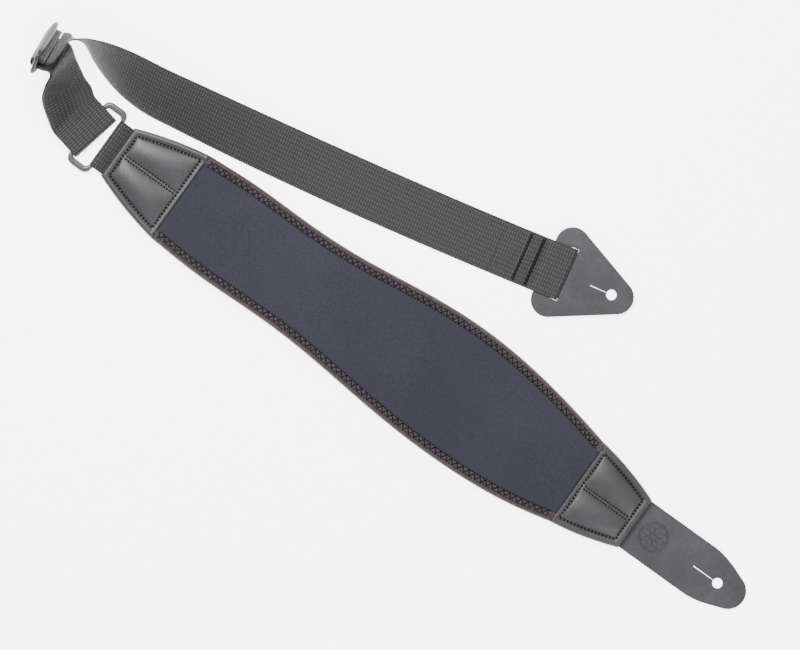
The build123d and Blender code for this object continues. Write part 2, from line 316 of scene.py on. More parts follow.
def uv_axes(tree):
    """The weave's two axes, in millimetres along and across the webbing."""
    uv = add(tree, "ShaderNodeUVMap", uv_map="weave")
    split = add(tree, "ShaderNodeSeparateXYZ")
    tree.links.new(uv.outputs["UV"], split.inputs["Vector"])
    return split.outputs["X"], split.outputs["Y"], uv.outputs["UV"]


def webbing_material():
    """Black nylon webbing: cross ribs with a fine warp of threads over them. The colour is darker in the
    grooves between the ribs: painted shade.
    """
    mat, tree, shader = new_material("webbing", (0.05, 0.045, 0.05), 0.5, Sheen_Weight=0.05,
                                     Sheen_Roughness=0.4, Sheen_Tint=(0.75, 0.7, 0.75, 1))
    along, across, uv = uv_axes(tree)
    warp = sine(tree, times(tree, across, 2 * math.pi / (warp_thread / MM)))
    weft = sine(tree, times(tree, along, 2 * math.pi / (weft_thread / MM)))
    rib = sine(tree, times(tree, along, 2 * math.pi / (rib_pitch / MM)))
    # Lighter on the rib crests and darker in the grooves between them: painted shade.
    groove_shade = spread(tree, times(tree, plus(tree, rib, 1.0), 0.5), 0.0, 1.0)
    threads = times(tree, plus(tree, warp, times(tree, weft, 0.6)), 0.5)
    fuzz = noise(tree, uv, 1.7, 4.0)
    columns = sine(tree, times(tree, across, math.pi / (warp_pitch / MM)))
    weave = times(tree, rib, columns)
    shade = mixed(tree, (groove_shade, 0.5), (fuzz, 0.45), (weave, 0.2), (threads, 0.1))
    color = ramp(tree, shade, [(0.3, (0.0004, 0.0004, 0.0004)), (0.52, (0.0048, 0.0042, 0.0050)),
                               (0.9, (0.052, 0.046, 0.054))])
    tree.links.new(color, shader.inputs["Base Color"])
    tree.links.new(spread(tree, fuzz, 0.42, 0.68), shader.inputs["Roughness"])
    bump(tree, shader, plus(tree, threads, times(tree, fuzz, 0.6)), 0.00012, 0.8)
    return mat


def neoprene_material():
    """Slate-black jersey laminated on neoprene, with a very fine knit."""
    mat, tree, shader = new_material("neoprene_face", (0.05, 0.053, 0.07), 0.8, Sheen_Weight=0.1,
                                     Sheen_Roughness=0.55, Sheen_Tint=(0.78, 0.78, 0.9, 1),
                                     Specular_IOR_Level=0.25)
    co = object_coords(tree)
    knit = voronoi(tree, co, 1700.0)
    soft = noise(tree, co, 26.0, 4.0)
    broad = noise(tree, co, 5.0, 2.0)
    grain = noise(tree, co, 650.0, 3.0)
    tone = mixed(tree, (soft, 0.2), (broad, 0.3), (grain, 0.5))
    color = ramp(tree, tone, [(0.3, (0.010, 0.0098, 0.0155)), (0.5, (0.0185, 0.018, 0.028)),
                              (0.7, (0.031, 0.030, 0.044))])
    tree.links.new(color, shader.inputs["Base Color"])
    tree.links.new(spread(tree, soft, 0.72, 0.9), shader.inputs["Roughness"])
    bump(tree, shader, plus(tree, knit, times(tree, soft, 0.4)), 0.00022, 0.7)
    return mat


def strip_material():
    """Ribbed edge tape in warm black."""
    mat, tree, shader = new_material("edge_strip", (0.03, 0.025, 0.028), 0.85, Sheen_Weight=0.25)
    co = object_coords(tree)
    split = add(tree, "ShaderNodeSeparateXYZ")
    tree.links.new(co, split.inputs["Vector"])
    rib = sine(tree, times(tree, split.outputs["X"], 2 * math.pi / tape_rib))
    fuzz = noise(tree, co, 420.0, 4.0)
    color = ramp(tree, fuzz, [(0.3, (0.012, 0.0075, 0.009)), (0.7, (0.05, 0.034, 0.040))])
    tree.links.new(color, shader.inputs["Base Color"])
    bump(tree, shader, plus(tree, times(tree, rib, 0.3), fuzz), 0.00035, 0.8)
    return mat


def leather_material(name, dark, mid, light, rough, grain_scale, grain_depth, coat):
    """Grained leather: pores and creases from cells, with a slow change of tone."""
    mat, tree, shader = new_material(name, mid, sum(rough) / 2, Coat_Weight=coat, Coat_Roughness=0.34)
    co = object_coords(tree)
    cells = voronoi(tree, co, grain_scale, "DISTANCE_TO_EDGE")
    pebble = math_node(tree, "MINIMUM", times(tree, cells, 5.0), 1.0)
    wrinkle = noise(tree, co, grain_scale * 0.22, 5.0, 0.6)
    broad = noise(tree, co, 22.0, 3.0)
    tone = mixed(tree, (broad, 0.6), (wrinkle, 0.4))
    color = ramp(tree, tone, [(0.3, dark), (0.5, mid), (0.72, light)])
    tree.links.new(color, shader.inputs["Base Color"])
    tree.links.new(spread(tree, wrinkle, *rough), shader.inputs["Roughness"])
    height = plus(tree, times(tree, pebble, 0.6), wrinkle)
    bump(tree, shader, height, grain_depth, 0.7)
    return mat


def lining_material():
    """Soft brushed cloth."""
    mat, tree, shader = new_material("lining", (0.045, 0.045, 0.05), 0.9, Sheen_Weight=0.6)
    co = object_coords(tree)
    nap = noise(tree, co, 260.0, 5.0, 0.65)
    patch = noise(tree, co, 14.0, 3.0)
    tone = mixed(tree, (nap, 0.5), (patch, 0.5))
    color = ramp(tree, tone, [(0.3, (0.028, 0.028, 0.031)), (0.7, (0.068, 0.068, 0.074))])
    tree.links.new(color, shader.inputs["Base Color"])
    bump(tree, shader, nap, 0.0004, 0.8)
    return mat


def thread_material():
    """Waxed twisted thread."""
    mat, tree, shader = new_material("thread", (0.018, 0.016, 0.018), 0.6, Specular_IOR_Level=0.2)
    co = object_coords(tree)
    twist = noise(tree, co, 1500.0, 2.0)
    color = ramp(tree, twist, [(0.3, (0.0004, 0.0004, 0.0004)), (0.75, (0.005, 0.0045, 0.005))])
    tree.links.new(color, shader.inputs["Base Color"])
    bump(tree, shader, twist, 0.0002, 0.7)
    return mat


def hardware_material(name, color, rough, scuff):
    """Moulded or plated hardware with fine scuffs along its faces."""
    mat, tree, shader = new_material(name, color, sum(rough) / 2, Coat_Weight=0.15)
    co = object_coords(tree)
    stretch = add(tree, "ShaderNodeMapping")
    stretch.inputs["Scale"].default_value = (1.0, 0.25, 1.0)
    tree.links.new(co, stretch.inputs["Vector"])
    fine = noise(tree, stretch.outputs["Vector"], 900.0, 4.0)
    broad = noise(tree, co, 60.0, 3.0)
    low = tuple(c * (1 - scuff) for c in color)
    high = tuple(min(1.0, c * (1 + scuff)) for c in color)
    tree.links.new(ramp(tree, broad, [(0.3, low), (0.7, high)]), shader.inputs["Base Color"])
    tree.links.new(spread(tree, fine, *rough), shader.inputs["Roughness"])
    bump(tree, shader, plus(tree, fine, broad), 0.00006, 0.6)
    return mat


WEBBING = webbing_material()
NEOPRENE = neoprene_material()
STRIP = strip_material()
LINING = lining_material()
THREAD = thread_material()
COVER = leather_material("cover_leather", (0.008, 0.008, 0.009), (0.014, 0.014, 0.016), (0.024, 0.024, 0.027),
                         (0.4, 0.52), 900.0, 0.00014, 0.3)
TAB = leather_material("tab_leather", (0.014, 0.0136, 0.0165), (0.027, 0.0262, 0.031), (0.044, 0.043, 0.050),
                       (0.48, 0.62), 1300.0, 0.00014, 0.05)
RING = hardware_material("ring_metal", (0.05, 0.05, 0.056), (0.2, 0.32), 0.3)
SLIDER = hardware_material("slider_plastic", (0.007, 0.0075, 0.008), (0.3, 0.45), 0.3)


# ---------------- webbing ribbons

def smooth_path(stations, step):
    """Points evenly spaced along a smooth line through the stations, with the direction across at each."""
    pts = np.array([tuple(p) for p, _ in stations], float)
    across = unit(np.array([tuple(a) for _, a in stations], float))
    chord = np.r_[0, np.cumsum(np.linalg.norm(np.diff(pts, axis=0), axis=1))]

    def hermite(values, t):
        slope = np.gradient(values, chord, axis=0)
        k = np.clip(np.searchsorted(chord, t, side="right") - 1, 0, len(chord) - 2)
        h = (chord[k + 1] - chord[k])[:, None]
        u = ((t - chord[k])[:, None]) / h
        a, b = values[k], values[k + 1]
        ma, mb = slope[k] * h, slope[k + 1] * h
        return ((2 * u**3 - 3 * u**2 + 1) * a + (u**3 - 2 * u**2 + u) * ma
                + (-2 * u**3 + 3 * u**2) * b + (u**3 - u**2) * mb)

    fine = np.linspace(0, chord[-1], max(200, int(chord[-1] / (step / 4))))
    line = hermite(pts, fine)
    length = np.r_[0, np.cumsum(np.linalg.norm(np.diff(line, axis=0), axis=1))]
    wanted = np.arange(0, int(length[-1] / step) + 1) * (length[-1] / int(length[-1] / step))
    t = np.interp(wanted, length, fine)
    return hermite(pts, t), unit(hermite(across, t)), wanted


ribbon_lengths = {}


def ribbon(name, stations, phase=0.0):
    """A woven strip along the stations, with ribs on both faces and thin round edges."""
    columns = 36
    line, across, s = smooth_path(stations, rib_pitch / 4)
    ribbon_lengths[name] = s[-1]
    along = np.gradient(line, axis=0)
    up = unit(np.cross(along, across))
    v = np.linspace(-1, 1, columns + 1)
    width = v * web_half
    core = web_t / 2 - rib_height * 0.9
    edge = 1 - 0.55 * np.abs(v) ** 14
    u_phase = (s + phase)[:, None] * 2 * math.pi / rib_pitch
    check = np.cos(width * 2 * math.pi / warp_pitch)[None, :]
    rib = (0.5 + 0.5 * np.sin(u_phase + 0.55 * check)) * (0.82 + 0.18 * check)
    height = rib_height * rib
    scallop = 0.12 * MM * np.sin(u_phase) * (np.abs(v) > 0.995)[None, :]
    spread_out = (width[None, :] + scallop * np.sign(v)[None, :])[..., None] * across[:, None, :]
    top = line[:, None, :] + spread_out + up[:, None, :] * ((core + height) * edge)[..., None]
    under = line[:, None, :] + spread_out - up[:, None, :] * ((core + rib_height - height) * edge)[..., None]
    verts = np.concatenate([top.reshape(-1, 3), under.reshape(-1, 3)])
    uv = np.stack(np.broadcast_arrays((s + phase)[:, None] / MM, width[None, :] / MM), axis=-1).reshape(-1, 2)
    uvs = np.concatenate([uv, uv])
    return fix_normals(make_object(name, verts, shell_faces(len(line), columns + 1), uvs))


def turn_round(centre, x_dir, y_dir, radius, start, end, across, steps=9):
    """Stations round a bar, from one angle to another in the plane of x_dir and y_dir."""
    made = []
    for i in range(steps):
        angle = math.radians(start + (end - start) * i / (steps - 1))
        out, up = radius * math.cos(angle), radius * math.sin(angle)
        made.append((centre + x_dir * out + y_dir * up, across))
    return made


UP = Vector((0, 0, 1))
RIGHT = Vector((1, 0, 0))
Y = Vector((0, 1, 0))


def anchor_webbing():
    """The short loop that holds the ring to the pad."""
    radius = bar_r + bar_play + web_t / 2
    cover_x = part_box("ring_end_cover_front")[0].x
    mid = cover_t + web_t
    inside, mouth = cover_x + 9 * MM, cover_x + 1 * MM
    upper, lower = mid + web_t / 2, mid - web_t / 2
    leaves = 68
    stations = [(Vector((inside, 0, upper)), Y), (Vector((mouth, 0, upper)), Y)]
    stations += turn_round(ring_near, RIGHT, UP, radius, leaves, 360 - leaves, Y, 12)
    stations += [(Vector((mouth, 0, lower)), Y), (Vector((inside, 0, lower)), Y)]
    obj = ribbon("anchor_webbing_loop", stations)
    return finish_piece(obj, WEBBING, "pad", "webbing", "anchor_webbing")


def turned(angle):
    """The direction across a webbing that runs along the run, turned out of the table plane."""
    a = math.radians(angle)
    return run_side * math.cos(a) + UP * math.sin(a)


loop_leave = 14 * MM
loop_turn = math.radians(12)
loop_slack = 9.9 * MM
loop_dir = Vector((-math.cos(loop_turn), math.sin(loop_turn), 0))
loop_across = Vector((-math.sin(loop_turn), -math.cos(loop_turn), 0))
loop_at = ring_far + Y * 0.7 * MM
loop_flat = 17 * MM
double_middle = Vector((-755.0, 17.5, 15.5)) * MM
double_across = Vector((-0.345, -0.775, 0.53))


def double_webbing():
    """One strip: sewn end, under layer, round the ring, upper layer, round the slider's bar and out."""
    centre = slider_centre
    wrap = bar_r + bar_play + web_t / 2
    r_sewn = sewn_r + web_t / 2
    r_run = run_r + web_t / 2
    layer_gap = web_t / 2 + 0.14 * MM
    finish = centre + short_dir * (run_r - 0.05 * MM) + out_dir * (loop_leave + 2 * MM)
    near_ring = loop_at + loop_dir * loop_flat
    rising = (near_ring.lerp(double_middle, 0.5) - UP * 0.8 * MM, loop_across.lerp(double_across, 0.45))
    turning = (double_middle.lerp(finish, 0.55) + short_dir * 1.5 * MM, Vector((-0.1, -0.70, 0.69)))
    rows = [(near_ring, loop_across), rising, (double_middle, double_across), turning, (finish, long_dir)]

    def layer(side):
        made = []
        for k, (at, across) in enumerate(rows):
            ahead = rows[min(k + 1, len(rows) - 1)][0] - rows[max(k - 1, 0)][0]
            normal = across.cross(ahead).normalized()
            if normal.z < 0:
                normal = -normal
            made.append((at + normal * (side * layer_gap), across))
        return made

    window = -loop_dir
    turn_at = loop_at + window * (loop_slack - 0.6 * MM)
    stations = [(centre - short_dir * r_sewn + out_dir * (6 * MM), long_dir)]
    stations += turn_round(centre, out_dir, short_dir, r_sewn, -90, -270, long_dir)
    stations += [(centre + short_dir * r_sewn + out_dir * (7 * MM), long_dir)]
    stations += list(reversed(layer(-1)))
    beside, closing = loop_at + loop_dir * 8 * MM, UP * wrap * 0.92
    stations += [(beside - closing, loop_across), (loop_at - UP * wrap, loop_across)]
    stations += turn_round(turn_at, window, UP, wrap, -90, 90, loop_across)
    stations += [(loop_at + UP * wrap, loop_across), (beside + closing, loop_across)]
    stations += layer(1)
    stations += [(centre + short_dir * r_run + out_dir * (7 * MM), long_dir)]
    stations += turn_round(centre, out_dir, short_dir, r_run, 90, 270, long_dir, 11)
    stations += [(centre - short_dir * r_run + out_dir * (4 * MM), long_dir)]
    stations += [(run_exit - out_dir * 1.2 * MM, long_dir)]
    obj = ribbon("adjusting_webbing_double", stations)
    finish_piece(obj, WEBBING, None, "webbing", "webbing_double", "webbing_ring_fold", "webbing_turn",
                 "webbing_sewn_end")
    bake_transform(obj)
    return obj


run_back = 68.5  # millimetres from the webbing's fold to the hem's start


def run_centre(share):
    """The run's middle line on the table, slightly bowed, at a share of its length."""
    start = fold - run_dir * run_length
    bow = run_side * (-4 * run_bow * share * (1 - share))
    return start + run_dir * (run_length * share) + bow


def run_angle(share):
    """How far the run is still turned out of the table plane."""
    return run_turn * max(0.0, 1 - share / flat_from) ** turn_fade


def run_station(share):
    angle = run_angle(share)
    lift = web_half * math.sin(math.radians(angle)) + web_t / 2
    return run_centre(share) + UP * lift, turned(angle)


def twist_stations():
    """The stretch that comes down from the slider's slant, standing on its edge first."""
    rows = [((-776.0, 57.5, 31.0), 100), ((-766.0, 64.0, 27.5), 88), ((-751.4, 63.8, 25.0), 70),
            ((-732.5, 63.4, 21.0), 52), ((-713.9, 63.6, 16.6), 38)]
    return [(Vector(p) * MM, turned(a)) for p, a in rows]


def single_run():
    """The twisted lead and the long single run, as one strip."""
    lead = [(run_exit + out_dir * 0.2 * MM, long_dir), (run_exit + out_dir * 4 * MM + Y * 1.5 * MM, long_dir)]
    lead += twist_stations()
    shares = (0.003, 0.06, 0.12, 0.2, 0.3, 0.42, 0.55, 0.68, 0.8, 1 - run_back * MM / run_length)
    run = [run_station(share) for share in shares]
    obj = ribbon("adjusting_webbing_run", lead + run)
    finish_piece(obj, WEBBING, None, "webbing", "webbing_twist", "webbing_run")
    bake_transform(obj)
    return obj


def hem():
    """The run's end: over the leather, through the slot, and back under it."""
    over = web_t + tri_t
    flat, doubled, raised = web_t / 2, web_t + web_t / 2, over + web_t / 2

    def at(back, z):
        return run_centre(1 - back * MM / run_length) + UP * z, run_side

    rise = [(run_back + 0.5, flat), (62, flat), (55, flat), (51.5, web_t * 0.55), (46.5, doubled),
            (30, doubled), (23, raised), (12, raised), (3.2, raised)]
    stations = [at(back, z) for back, z in rise]
    radius = (over + web_t) / 2 - web_t / 2
    centre = fold - run_dir * (1.4 * MM) + UP * ((over + web_t) / 2)
    stations += turn_round(centre, run_dir, UP, radius, 90, -90, run_side)
    stations += [at(back, flat) for back in (5, 25, 49)]
    phase = ribbon_lengths["adjusting_webbing_run"] - 0.5 * MM
    obj = ribbon("adjusting_webbing_hem", stations, phase)
    finish_piece(obj, WEBBING, None, "webbing", "webbing_end")
    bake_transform(obj)
    return obj


# ---------------- pad

strip_narrowest = 43 * MM
rim_roll = 3.2 * MM
strip_width = 9.0 * MM
cover_narrow = 27 * MM
cover_bulge = 2 * MM
cover_rim = 2.6 * MM
border_side = 7.6 * MM
border_end = 6.6 * MM
border_pad = 4.6 * MM
lobe_in = 1.0 * MM


def edge_line(node, sign):
    """Outermost y of a CAD edge strip as a function of x, from its own outline."""
    co = np.array([v.co for v in frame["nodes"][node].data.vertices], float)
    order = np.argsort(co[:, 0])
    co = co[order]
    outer_x, outer_y = [], []
    for x in np.unique(np.round(co[:, 0], 4)):
        ys = co[np.abs(co[:, 0] - x) < 2e-4, 1] * sign
        outer_x.append(x)
        outer_y.append(ys.max())
    outer_x, outer_y = np.array(outer_x), np.array(outer_y)
    keep = [i for i in range(len(outer_x)) if outer_y[i] >= np.interp(outer_x[i], outer_x, outer_y) - 1e-6]
    hull_x, hull_y = outer_x[keep], outer_y[keep]
    good = hull_y > strip_narrowest
    fit = np.polynomial.Polynomial.fit(hull_x[good], hull_y[good], 8)
    return lambda x: fit(x)


upper_edge = edge_line("edge_strip_upper", 1)
lower_edge = edge_line("edge_strip_lower", -1)
strip_low, strip_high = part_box("edge_strip_upper")
cover_lines = {
    "ring_end": tuple(corner.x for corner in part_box("ring_end_cover_front")),
    "tab_end": tuple(corner.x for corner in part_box("tab_end_cover_front"))[::-1],
}


def cover_half(name, x):
    """Half width of a cover's outline, a shallow arc from its narrow end to the pad."""
    low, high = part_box(f"{name}_cover_back")
    wide = (high.y - low.y) / 2
    x0, x1 = cover_lines[name]
    t = np.clip((x - x0) / (x1 - x0), 0, 1)
    return cover_narrow + (wide - cover_narrow) * t + cover_bulge * 4 * t * (1 - t)


def pad_half(x, sign):
    """Half width of the whole pad at x, on the upper or lower side, with its ends inside the covers."""
    edge = upper_edge(x) if sign > 0 else lower_edge(x)
    result = edge.copy()
    for name in ("ring_end", "tab_end"):
        x0, x1 = cover_lines[name]
        inside = (x < x1) if x0 < x1 else (x > x1)
        result = np.where(inside, cover_half(name, x) - cover_rim, result)
    return result


def pad_grid(xs, v, inset):
    """y over the pad's outline for shares v of its half width, and each point's distance from the edge."""
    up, down = pad_half(xs, 1) - inset, pad_half(xs, -1) - inset
    y = np.where(v[None, :] > 0, v[None, :] * up[:, None], v[None, :] * down[:, None])
    return y, np.minimum(up[:, None] - y, y + down[:, None])


def pad_body():
    """The padded core and its face: a crowned slab whose rim rolls over between the edge strips."""
    xs = np.linspace(pad_low.x + 0.5 * MM, pad_high.x - 0.5 * MM, 420)
    v = np.sin(np.linspace(-math.pi / 2, math.pi / 2, 91))
    top_z = face_top + 0.3 * MM
    y, edge_distance = pad_grid(xs, v, 1.2 * MM)
    rolled = np.sqrt(np.clip(1 - (1 - np.clip(edge_distance / rim_roll, 0, 1)) ** 2, 0, 1))
    sewn = swell(edge_distance, 6.8 * MM, 1.6 * MM)
    crown = 0.9 * MM * (1 - np.exp(-np.clip(edge_distance - 7 * MM, 0, 1) / (9 * MM)))
    slow = 0.25 * MM * np.sin(xs * 31.0 + 0.6)[:, None] * np.cos(y * 40.0)
    slow = slow + 0.15 * MM * np.sin(xs * 67.0 + y.mean())[:, None]
    open_pad = smoothstep(edge_distance, 8 * MM, 26 * MM)
    inside = ((xs < cover_lines["ring_end"][1]) | (xs > cover_lines["tab_end"][1]))[:, None]
    height = lining_t + (top_z - lining_t) * (0.25 + 0.75 * rolled) - 0.5 * MM * sewn
    height = height + crown + slow * open_pad
    height = np.where(inside, np.minimum(height, face_top - 0.1 * MM), height)
    floor_z = lining_t + (1 - rolled) * 1.2 * MM
    return grid_slab("pad_body", xs, y, height, floor_z)


def grid_slab(name, xs, y, top, low):
    """A closed slab between two height fields over a grid of x rows and y columns."""
    x = np.broadcast_to(xs[:, None], y.shape)
    upper = np.stack([x, y, top], -1).reshape(-1, 3)
    under = np.stack([x, y, np.broadcast_to(low, y.shape)], -1).reshape(-1, 3)
    return fix_normals(make_object(name, np.concatenate([upper, under]), shell_faces(*y.shape)))


def edge_strip(name, sign):
    """Tape folded over the pad's long edge, from its face round to its lining."""
    xs = np.linspace(strip_low.x - 1.2 * MM, strip_high.x + 1.2 * MM, 380)
    half = pad_half(xs, sign)
    wave = 0.35 * MM * np.sin(xs * 2 * math.pi / (7.4 * MM))
    profile = []
    turn_from, turn_to = 0.42, 0.88
    rolls = 3.0 * MM
    top = face_top + 0.75 * MM
    for a in np.linspace(0, 1, 25):
        if a < turn_from:
            t = a / turn_from
            lip = 0.45 * MM if t < 0.04 else 0
            back = strip_width * (1 - t) + rolls * t
            profile.append((back, top + 0.15 * MM * math.sin(math.pi * t) - lip))
        elif a < turn_to:
            turn = (a - turn_from) / (turn_to - turn_from) * math.pi
            z = top / 2 + top / 2 * math.cos(turn) * 0.985 + 0.05 * MM
            profile.append((rolls - 2.9 * MM * math.sin(turn), z))
        else:
            t = (a - turn_to) / (1 - turn_to)
            profile.append((rolls + rolls * t, 0.1 * MM))
    profile = np.array(profile)
    thick = 0.55 * MM
    tangent = unit(np.gradient(profile, axis=0))
    inward = np.stack([-tangent[:, 1], tangent[:, 0]], -1)
    if (inward[len(inward) // 2, 0]) < 0:
        inward = -inward
    inner_line = profile + inward * thick
    ring = np.concatenate([profile, inner_line[::-1]])
    pinch = wave[:, None] * swell(ring[None, :, 0], strip_width, 1.2 * MM)
    y = sign * (half[:, None] - ring[None, :, 0] - pinch)
    z = np.broadcast_to(ring[None, :, 1], y.shape)
    x = np.broadcast_to(xs[:, None], y.shape)
    verts = np.stack([x, y, z], -1).reshape(-1, 3)
    rows, cols = y.shape
    grid = np.arange(rows * cols).reshape(rows, cols)
    nxt = np.roll(grid, -1, axis=1)
    faces = [tuple(f) for f in np.stack([grid[:-1], grid[1:], nxt[1:], nxt[:-1]], -1).reshape(-1, 4)]
    for row in (0, rows - 1):
        for k in range(len(profile) - 1):
            faces.append((grid[row, k], grid[row, k + 1], grid[row, cols - 2 - k], grid[row, cols - 1 - k]))
    return fix_normals(make_object(name, verts, faces))


def lining():
    """The backing cloth, which curls up a little at its edges."""
    xs = np.linspace(strip_low.x, strip_high.x, 260)
    v = np.linspace(-1, 1, 50)
    y, edge_distance = pad_grid(xs, v, 1.6 * MM)
    low = 0.62 * MM * np.exp(-edge_distance / (4 * MM)) + 0.02 * MM
    waves = 0.5 + 0.5 * np.sin(xs * 90.0)[:, None] * np.cos(y * 70.0)
    low += 0.12 * MM * waves * smoothstep(edge_distance, 3 * MM, 15 * MM)
    return grid_slab("pad_lining_cloth", xs, y, np.full(y.shape, 1.35 * MM), low)


# ---------------- covers

def cover_height(name, x, y):
    """The front cover's height: a rolled rim, a sewn groove, and two puffed lobes with a seam between."""
    x0, x1 = cover_lines[name]
    length = abs(x1 - x0)
    near_end = np.abs(x - x0)
    side = cover_half(name, x) - np.abs(y)
    pad_end = length - near_end
    rim_side = np.minimum(side, near_end * 0.9 + 0.6 * MM)
    base = face_top + cover_t
    rim = 1.0 * MM * swell(rim_side, 3.6 * MM, 2.4 * MM)
    border = np.minimum(np.minimum(side - border_side, near_end - border_end), pad_end - border_pad)
    groove = -0.55 * MM * swell(border, 0, 1.0 * MM)
    seam = np.abs(y) - 1.4 * MM
    lobe_across = np.clip(seam / np.maximum(seam + side - border_side - lobe_in, MM), 0, 1)
    lobe_length = length - border_end - border_pad - 2 * lobe_in
    lobe_along = np.clip((near_end - border_end - lobe_in) / lobe_length, 0, 1)
    puff = np.sin(math.pi * lobe_across) ** 0.75 * np.sin(math.pi * lobe_along) ** 0.45 * 3.8 * MM
    ridge = 0.55 * MM * swell(y, 0, 0.9 * MM) * smoothstep(border, 0, 4 * MM)
    edge_roll = np.clip(np.minimum(side, np.minimum(near_end, pad_end + 0.4 * MM)) / (1.6 * MM), 0, 1)
    drop = (1 - np.sqrt(np.clip(1 - (1 - edge_roll) ** 2, 0, 1))) * 2.2 * MM
    lip = 0.35 * MM * swell(pad_end, 1.4 * MM, 1.0 * MM)
    return base + rim + groove + puff + ridge + lip - drop


def cover(name):
    """Front leather as a puffed shell that closes on the back leather."""
    x0, x1 = cover_lines[name]
    xs = np.linspace(x0, x1, 130)
    v = np.linspace(-1, 1, 151)
    v = np.sign(v) * (1 - (1 - np.abs(v)) ** 1.15)
    half = cover_half(name, xs)[:, None]
    y = v[None, :] * half
    x = np.broadcast_to(xs[:, None], y.shape)
    top = cover_height(name, x, y)
    floor = np.full(y.shape, cover_t + 0.02 * MM)
    side = half - np.abs(y)
    floor = np.where(side > 3.0 * MM, face_top + 0.05 * MM, floor)
    obj = grid_slab(f"{name}_cover_leather", xs, y, top, floor)
    finish_piece(obj, COVER, "pad", "cover_leather", f"{name}_cover_front", f"{name}_cover_pads")
    return obj


def cover_back(name):
    """Back leather, with its rim rounded and a shallow groove along the seam."""
    x0, x1 = cover_lines[name]
    xs = np.linspace(x0, x1, 60)
    half = cover_half(name, xs)[:, None]
    y = np.linspace(-1, 1, 61)[None, :] * half
    side = np.minimum(half - np.abs(y), np.minimum(np.abs(xs - x0), np.abs(xs - x1))[:, None])
    low = 0.5 * MM * (1 - np.clip(side / (1.2 * MM), 0, 1)) ** 2
    sewn = 0.3 * MM * swell(side, 6.5 * MM, 0.9 * MM)
    obj = grid_slab(f"{name}_cover_backing", xs, y, np.full(y.shape, cover_t), low + sewn)
    return finish_piece(obj, COVER, "pad", "cover_leather", f"{name}_cover_back")


# ---------------- leather tabs

def arc_points(cx, cy, r, start, end, steps):
    """Points round a centre, between two angles in degrees."""
    return [(cx + r * math.cos(math.radians(a)), cy + r * math.sin(math.radians(a)))
            for a in np.linspace(start, end, steps)]


def plate(name, outline, holes, thick, bevel, rows=()):
    """A leather plate with rounded edges and holes, and extra rows of points across x where it bends."""
    curve = bpy.data.curves.new(name, "CURVE")
    curve.dimensions = "2D"
    curve.fill_mode = "BOTH"
    curve.extrude = thick / 2 - bevel
    curve.bevel_depth = bevel
    curve.bevel_resolution = 3
    curve.offset = -bevel
    for line in [outline] + holes:
        spline = curve.splines.new("POLY")
        spline.points.add(len(line) - 1)
        for point, (px, py) in zip(spline.points, line):
            point.co = (px, py, 0, 1)
        spline.use_cyclic_u = True
    holder = link(name + "_curve", curve)
    bpy.context.view_layer.update()
    mesh = bpy.data.meshes.new_from_object(holder.evaluated_get(bpy.context.evaluated_depsgraph_get()))
    bpy.data.objects.remove(holder)
    obj = link(name, mesh)
    bm = bmesh.new()
    bm.from_mesh(mesh)
    bmesh.ops.remove_doubles(bm, verts=bm.verts, dist=2e-6)
    for x in rows:
        geom = list(bm.verts) + list(bm.edges) + list(bm.faces)
        bmesh.ops.bisect_plane(bm, geom=geom, dist=1e-7, plane_co=(x, 0, 0), plane_no=(1, 0, 0))
    bmesh.ops.recalc_face_normals(bm, faces=bm.faces)
    for face in bm.faces:
        face.smooth = True
    bm.to_mesh(mesh)
    bm.free()
    mesh.set_sharp_from_angle(angle=math.radians(40))
    return obj


def slit_ring(hole_x, slit):
    """The button hole and the slit that runs from it, as one outline ending in a small round."""
    start = math.degrees(math.asin(slit_width / 2 / button_r))
    hole = arc_points(hole_x, 0, button_r, -180 + start, 180 - start, 36)
    return hole + arc_points(hole_x - slit, 0, slit_width * 1.4, 60, 300, 7)


def end_tab():
    """The leather tab, thinned where it goes into its cover."""
    tip_x, tip_r = 12 * MM, 17 * MM
    half = (tab_high.y - tab_low.y) / 2
    straight = -9 * MM
    root = cover_lines["tab_end"][0] - 9 * MM
    reach = Vector((straight - tip_x, half))
    lean = math.degrees(math.atan2(reach.y, reach.x) - math.acos(tip_r / reach.length))
    arc = arc_points(tip_x, 0, tip_r, -lean, lean, 26)
    before, corner = (straight - 13 * MM, half), (straight, half)
    after = tuple(0.45 * a + 0.55 * b for a, b in zip(corner, arc[-1]))
    shoulder = []
    for t in np.linspace(0, 1, 12):
        parts = zip(before, corner, after)
        shoulder.append(tuple((1 - t) ** 2 * a + 2 * t * (1 - t) * b + t * t * c for a, b, c in parts))
    outline = [(root, -half)] + [(x, -y) for x, y in shoulder] + arc + shoulder[::-1] + [(root, half)]
    bend = np.arange(root + 2 * MM, straight, 2.0 * MM)
    obj = plate("end_tab_leather", outline, [slit_ring(0, 27 * MM)], leather_t, 0.55 * MM, bend)
    obj.data.transform(Matrix.Translation((0, 0, leather_t / 2)))
    co = np.zeros(len(obj.data.vertices) * 3)
    obj.data.vertices.foreach_get("co", co)
    co = co.reshape(-1, 3)
    cover_x = cover_lines["tab_end"][0]
    skived = 1 - smoothstep(co[:, 0], cover_x - 1 * MM, cover_x + 7 * MM)
    mid = cover_t + 0.9 * MM
    co[:, 2] = co[:, 2] * (1 - skived) + (mid + (co[:, 2] - leather_t / 2) * 0.5) * skived
    obj.data.vertices.foreach_set("co", co.ravel())
    finish_piece(obj, TAB, None, "tab_leather", "end_tab", "end_tab_root")
    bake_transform(obj)
    return obj


